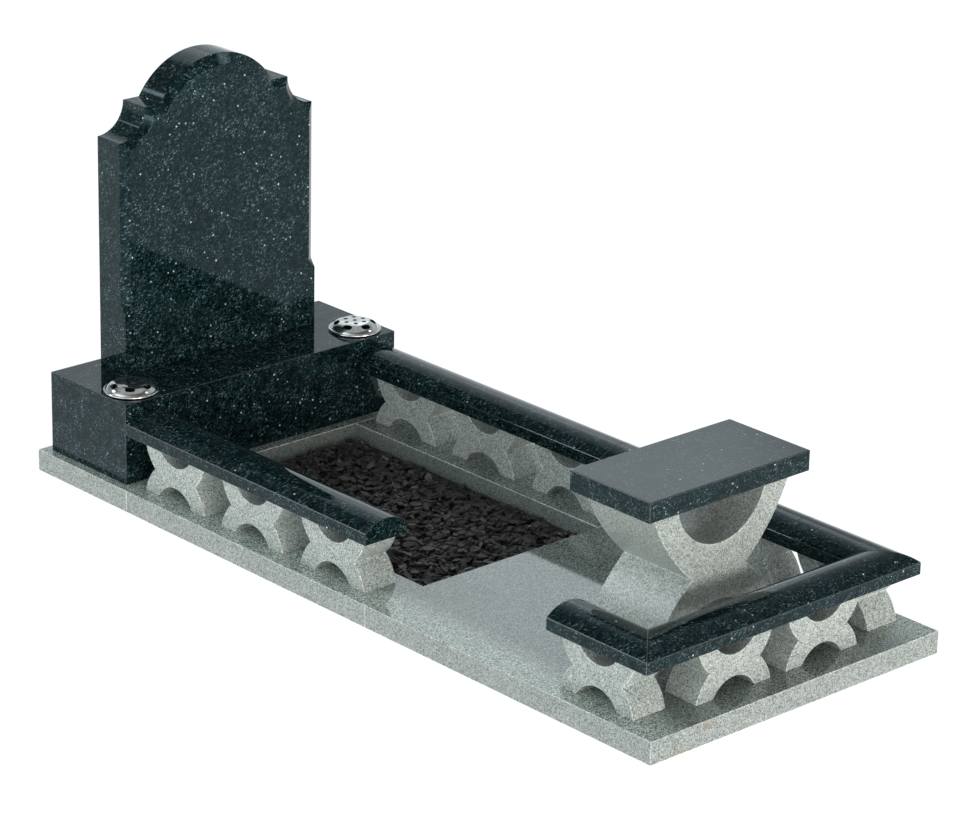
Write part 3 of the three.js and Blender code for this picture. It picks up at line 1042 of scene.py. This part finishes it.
def dome_points(radius, foot, crown):
    """The dome's section, from the axis down to its foot."""
    points = []
    for i in range(DOME_STEPS + 1):
        part = math.sin(math.pi / 2 * i / DOME_STEPS)
        rise = max(0.0, 1 - part ** LID_FLATNESS) ** LID_SHOULDER
        points.append((radius * part, foot + (crown - foot) * rise))
    return points


def lid_profile(height):
    """Radius and height of the section, from the inner crown round the bead to the outer one."""
    bead_middle = LID_RADIUS - LID_BEAD
    bead = []
    for i in range(BEAD_STEPS + 1):
        angle = BEAD_START + (BEAD_END - BEAD_START) * i / BEAD_STEPS
        bead.append((bead_middle + LID_BEAD * math.cos(angle), LID_BEAD * (1 + math.sin(angle))))
    outer_radius, outer_foot = bead[-1]
    inner_radius = outer_radius - LID_WALL
    inner = dome_points(inner_radius, outer_foot, height - LID_WALL)
    outer = dome_points(outer_radius, outer_foot, height)
    return inner + [(inner_radius, 0.0)] + bead[:-1] + outer[::-1]


print("points in the lid's section:", len(lid_profile(25 * MM)))

# %% [markdown]
# The section is turned round its axis like a bowl on a lathe. A screw modifier does the same, but
# here the order of the faces matters: the first rings are the underside, which stays bare steel.

# %% Turn the lid's shell
LID_SEGMENTS = 120
ON_AXIS = 1e-9


def turned(profile, centre):
    """Turns a profile that starts and ends on the axis into a closed mesh."""
    vertices = []
    rings = []
    for radius, height in profile:
        if radius < ON_AXIS:
            rings.append([len(vertices)])
            vertices.append((centre[0], centre[1], centre[2] + height))
            continue
        rings.append(list(range(len(vertices), len(vertices) + LID_SEGMENTS)))
        for i in range(LID_SEGMENTS):
            angle = 2 * math.pi * i / LID_SEGMENTS
            x, y = radius * math.cos(angle), radius * math.sin(angle)
            vertices.append((centre[0] + x, centre[1] + y, centre[2] + height))
    faces = []
    for lower, upper in zip(rings, rings[1:]):
        for i in range(LID_SEGMENTS):
            j = (i + 1) % LID_SEGMENTS
            if len(lower) == 1:
                faces.append((lower[0], upper[j], upper[i]))
            elif len(upper) == 1:
                faces.append((lower[i], lower[j], upper[0]))
            else:
                faces.append((lower[i], lower[j], upper[j], upper[i]))
    return vertices, faces


print("the lid is turned in", LID_SEGMENTS, "steps")

# %% [markdown]
# A round hole sits in the middle, six more in a ring round it, and six ovals in a wider ring,
# between the round ones. The ovals have full corners, which a sine and a cosine give when they are
# raised to a power below 1.

# %% Shape the punches
ROUND_HOLE = (11.5 * MM, 11.5 * MM)
ROUND_RING = 26 * MM
OVAL_HOLE = (15 * MM, 25 * MM)
OVAL_RING = 47 * MM
HOLES_IN_RING = 6
HOLE_SIDES = 40
OVAL_SQUARENESS = 0.75


def hole_places(start):
    """Ring radius, angle and size of each hole."""
    step = 360 / HOLES_IN_RING
    places = [(0, start, ROUND_HOLE)]
    for i in range(HOLES_IN_RING):
        places.append((ROUND_RING, start + i * step, ROUND_HOLE))
        places.append((OVAL_RING, start + (i + 0.5) * step, OVAL_HOLE))
    return places


def squared(value):
    """Pushes a sine or cosine outwards, so that an oval gets fuller corners."""
    return math.copysign(abs(value) ** OVAL_SQUARENESS, value)


def hole_outline(size):
    """The outline of a round or an oval hole round 0."""
    points = []
    for i in range(HOLE_SIDES):
        angle = 2 * math.pi * i / HOLE_SIDES
        x, y = math.cos(angle), math.sin(angle)
        if size == OVAL_HOLE:
            x, y = squared(x), squared(y)
        points.append((size[0] / 2 * x, size[1] / 2 * y))
    return points


def punch_mesh(centre, start, height):
    """Corners and faces of an upright punch for every hole."""
    vertices, faces = [], []
    for ring, angle, size in hole_places(start):
        spin = Matrix.Rotation(math.radians(angle), 3, "Z")
        lower = [len(vertices) + i for i in range(HOLE_SIDES)]
        for level in (-height, 2 * height):
            for x, y in hole_outline(size):
                around = spin @ Vector((ring + x, y, 0))
                vertices.append(Vector(centre) + around + Vector((0, 0, level)))
        faces += prism_faces(lower, [i + HOLE_SIDES for i in lower])
    return vertices, faces


print("holes in a lid:", len(hole_places(0)))

# %% [markdown]
# A boolean then punches all the holes at once, which is how the real press does it. The punch is
# bare steel all over, so the walls of the holes come out as bare steel too. The result is kept as
# a plain mesh. The two lids are turned a little against each other, as they happen to lie.

# %% Punch the holes
LID_TURN = {"left": 20, "right": -4}
LID_FINISHES = (chrome, pressed_steel)
BARE_STEEL = LID_FINISHES.index(pressed_steel)
LID_SHARP = math.radians(35)


def pierce(piece, tool):
    """Subtracts the tool from the piece and keeps the result as the piece's mesh."""
    cut = piece.modifiers.new("holes", "BOOLEAN")
    cut.operation = "DIFFERENCE"
    cut.solver = "EXACT"
    cut.object = tool
    graph = bpy.context.evaluated_depsgraph_get()
    result = bpy.data.meshes.new_from_object(piece.evaluated_get(graph))
    piece.modifiers.clear()
    piece.data = result
    bpy.data.objects.remove(tool)


def punch(centre, start, height):
    """The object that cuts the holes of one lid."""
    vertices, faces = punch_mesh(centre, start, height)
    mesh = bpy.data.meshes.new("punches")
    mesh.from_pydata([tuple(v) for v in vertices], [], faces)
    for material in LID_FINISHES:
        mesh.materials.append(material)
    for face in mesh.polygons:
        face.material_index = BARE_STEEL
    tool = bpy.data.objects.new("punches", mesh)
    bpy.context.scene.collection.objects.link(tool)
    return tool


for side, start in LID_TURN.items():
    node = "flower_lid_" + side
    low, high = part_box(node)
    centre = ((low[0] + high[0]) / 2, (low[1] + high[1]) / 2, low[2])
    height = high[2] - low[2]
    lid = dressed(node, *turned(lid_profile(height), centre), "chrome", *LID_FINISHES)
    for face in lid.data.polygons[:DOME_STEPS * LID_SEGMENTS]:
        face.material_index = BARE_STEEL
    pierce(lid, punch(centre, start, height))
    lid.data.shade_smooth()
    lid.data.set_sharp_from_angle(angle=LID_SHARP)
    print(lid.name, len(lid.data.polygons), "faces")

# %% [markdown]
# ## Slate
# The plot holds loose flakes of plum slate. Scattering them as instances would be easy, but they
# would be lost when the model is exported, so they are one real mesh. A small height map keeps
# them from floating or sinking: it starts as a level bed and says how high the flakes lie in each
# cell.

# %% Height map of the bed
BED_START = 9 * MM
CELL = 5 * MM

bed_low, bed_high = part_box("slate_bed")
columns = int((bed_high[0] - bed_low[0]) / CELL) + 1
rows = int((bed_high[1] - bed_low[1]) / CELL) + 1
heights = [[BED_START for column in range(columns)] for row in range(rows)]


def cell_of(x, y):
    """Row and column of the cell at a place, or of the nearest one on the bed."""
    column = min(columns - 1, max(0, int((x - bed_low[0]) / CELL)))
    row = min(rows - 1, max(0, int((y - bed_low[1]) / CELL)))
    return row, column


def height_at(x, y):
    """How high the flakes lie at a place."""
    row, column = cell_of(x, y)
    return heights[row][column]


def raise_map(x, y, half, top):
    """Raises the cells in a square round a place to a new top."""
    for row in range(cell_of(x, y - half)[0], cell_of(x, y + half)[0] + 1):
        for column in range(cell_of(x - half, y)[1], cell_of(x + half, y)[1] + 1):
            heights[row][column] = max(heights[row][column], top)


print("cells in the height map:", rows * columns)

# %% [markdown]
# A flake is a rough polygon, longer than wide, with five to seven corners. It comes to rest on
# what is already below three points of it and tips to suit. A physics run would settle the flakes
# more truly, but it takes minutes and never gives the same bed twice.

# %% One flake
FLAKE_LENGTH = (15 * MM, 42 * MM)
FLAKE_SHAPE = (0.4, 0.72)
FLAKE_THICKNESS = (2.4 * MM, 6.0 * MM)
FLAKE_CORNERS = (5, 7)
CORNER_SHIFT = 0.28
CORNER_REACH = (0.8, 1.0)
FLAKE_TILT = 0.85


def flake_outline(chance, length, width):
    """A rough polygon, longer than wide."""
    corners = chance.randint(*FLAKE_CORNERS)
    points = []
    for i in range(corners):
        angle = 2 * math.pi * (i + chance.uniform(-CORNER_SHIFT, CORNER_SHIFT)) / corners
        reach = chance.uniform(*CORNER_REACH)
        points.append((length / 2 * reach * math.cos(angle), width / 2 * reach * math.sin(angle)))
    return points


def resting_plane(x, y, reach, spin):
    """Height and normal of the plane through what lies under three points of a flake."""
    supports = []
    for third in range(3):
        angle = spin + 2 * math.pi * third / 3
        px, py = x + reach * math.cos(angle), y + reach * math.sin(angle)
        supports.append(Vector((px, py, height_at(px, py))))
    normal = (supports[1] - supports[0]).cross(supports[2] - supports[0]).normalized()
    normal = normal.lerp(Vector((0, 0, 1)), 1 - FLAKE_TILT).normalized()
    return sum(s.z for s in supports) / 3, normal


print("flakes from", FLAKE_LENGTH[0] / MM, "to", FLAKE_LENGTH[1] / MM, "mm long")

# %% [markdown]
# Most flakes are plum or nearly black and a few are a paler grey. Each has a top that is a little
# smaller than its underside, as slate breaks with slanting edges, and its corners lean up or down.

# %% Shape and colour a flake
SLATE_TONES = [
    (0.032, 0.027, 0.026), (0.046, 0.037, 0.035), (0.021, 0.019, 0.019), (0.115, 0.106, 0.098),
]
TONE_WEIGHTS = [10, 8, 8, 1]
TONE_SHADES = (0.75, 1.25)
# painted shade: the tray under the flakes takes the darkest tone, so that the gaps read as shade
GAP_SHADE_TONE = SLATE_TONES[2]
FLAKE_TAPER = (0.82, 0.96)
FLAKE_LEAN = 0.12
SLATE_SEED = 41

chance = random.Random(SLATE_SEED)
flake_vertices, flake_faces, flake_tones = [], [], []


def add_flake(outline, turn, centre, thickness):
    """Adds one flake to the lists, turned and put in its place."""
    first = len(flake_vertices)
    taper = chance.uniform(*FLAKE_TAPER)
    for scale, level in ((1.0, -0.5), (taper, 0.5)):
        for x, y in outline:
            lean = thickness * chance.uniform(-FLAKE_LEAN, FLAKE_LEAN)
            corner = Vector((x * scale, y * scale, thickness * level + lean))
            flake_vertices.append(centre + turn @ corner)
    lower = [first + i for i in range(len(outline))]
    faces = prism_faces(lower, [i + len(outline) for i in lower])
    flake_faces.extend(faces)
    tone = chance.choices(SLATE_TONES, TONE_WEIGHTS)[0]
    shade = chance.uniform(*TONE_SHADES)
    flake_tones.extend([tuple(shade * v for v in tone)] * len(faces))


print("slate tones:", len(SLATE_TONES))

# %% [markdown]
# The flakes are dropped one after the other, each a little sunk into what is below it, and each
# raises the map where it lies.

# %% Scatter the flakes
FLAKE_COUNT = 4600
WALL_CLEARANCE = 1 * MM
BURIED = 0.2


def drop_flake():
    """Lays one flake on the bed and raises the height map under it."""
    length = chance.uniform(*FLAKE_LENGTH)
    width = length * chance.uniform(*FLAKE_SHAPE)
    thickness = chance.uniform(*FLAKE_THICKNESS)
    margin = length / 2 + WALL_CLEARANCE
    x = chance.uniform(bed_low[0] + margin, bed_high[0] - margin)
    y = chance.uniform(bed_low[1] + margin, bed_high[1] - margin)
    spin = chance.uniform(0, 2 * math.pi)
    level, normal = resting_plane(x, y, width / 2, spin)
    turn = normal.to_track_quat("Z", "Y").to_matrix() @ Matrix.Rotation(spin, 3, "Z")
    centre = Vector((x, y, level + thickness * (0.5 - BURIED)))
    add_flake(flake_outline(chance, length, width), turn, centre, thickness)
    raise_map(x, y, width / 2, centre.z + thickness / 2)


for number in range(FLAKE_COUNT):
    drop_flake()
print("flakes:", FLAKE_COUNT, "top of the bed:", round(max(v.z for v in flake_vertices), 4))

# %% [markdown]
# Under the flakes lies a plain tray in the darkest slate tone, painted shade for the gaps between
# the flakes, so that no gap shows through to the ground. Tray and flakes become one piece, and the
# tones go into a colour attribute, which travels with the mesh.

# %% Make the slate bed
TRAY_RISE = 3 * MM

tray_top = (bed_high[0], bed_high[1], BED_START + TRAY_RISE)
tray_vertices, tray_faces = box_mesh(bed_low, tray_top)
offset = len(tray_vertices)
all_faces = tray_faces + [tuple(i + offset for i in face) for face in flake_faces]
bed = dressed("slate_bed", tray_vertices + flake_vertices, all_faces, "slate", slate)
tones = bed.data.color_attributes.new(FLAKE_TONE, "FLOAT_COLOR", "CORNER")
all_tones = [GAP_SHADE_TONE] * len(tray_faces) + flake_tones
for face, tone in zip(bed.data.polygons, all_tones):
    for corner in face.loop_indices:
        tones.data[corner].color = (*tone, 1.0)
print(bed.name, len(bed.data.polygons), "faces")
